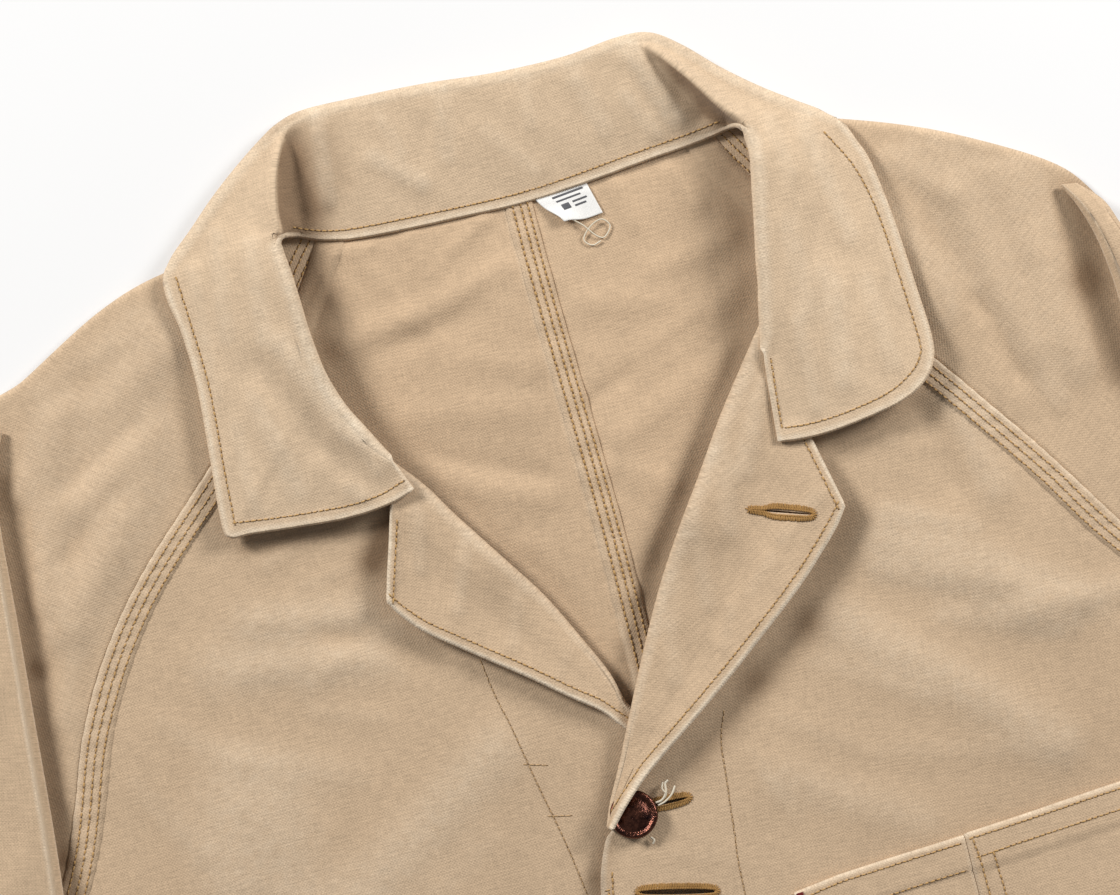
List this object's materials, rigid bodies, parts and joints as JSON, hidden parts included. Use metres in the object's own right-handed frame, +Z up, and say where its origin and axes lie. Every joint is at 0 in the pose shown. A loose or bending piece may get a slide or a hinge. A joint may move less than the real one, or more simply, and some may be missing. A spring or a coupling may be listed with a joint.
{
  "type": "chore jacket",
  "caption": "Raglan-sleeved cotton chore jacket lying flat with its front up, collar and lapels turned back over patch pockets.",
  "frame": {"origin": "centre of the bounding box in X and Y, on the surface the jacket lies on", "axes": "+X across the jacket towards the wearer's left, +Y up the jacket towards the collar, +Z up from the surface, out of the front"},
  "size_m": [0.88, 0.7782, 0.0132],
  "materials": {
    "twill": "matte",
    "twill_shade": "matte",
    "worn_twill": "matte",
    "copper_button": "satin",
    "white_label": "matte"
  },
  "bodies": {
    "root": {"back_left": "twill_shade", "front_left": "twill", "sleeve_cap_left": "twill", "sleeve_arm_left": "twill", "lapel_left": "twill", "back_right": "twill_shade", "front_right": "twill", "sleeve_cap_right": "twill", "sleeve_arm_right": "twill", "lapel_right": "twill", "collar": "worn_twill", "pen_pocket": "twill", "chest_pocket": "twill", "hip_pocket_left": "twill", "hip_pocket_right": "twill", "button_1": "copper_button", "button_2": "copper_button", "button_3": "copper_button", "button_4": "copper_button", "size_label": "white_label"}
  },
  "joints": []
}
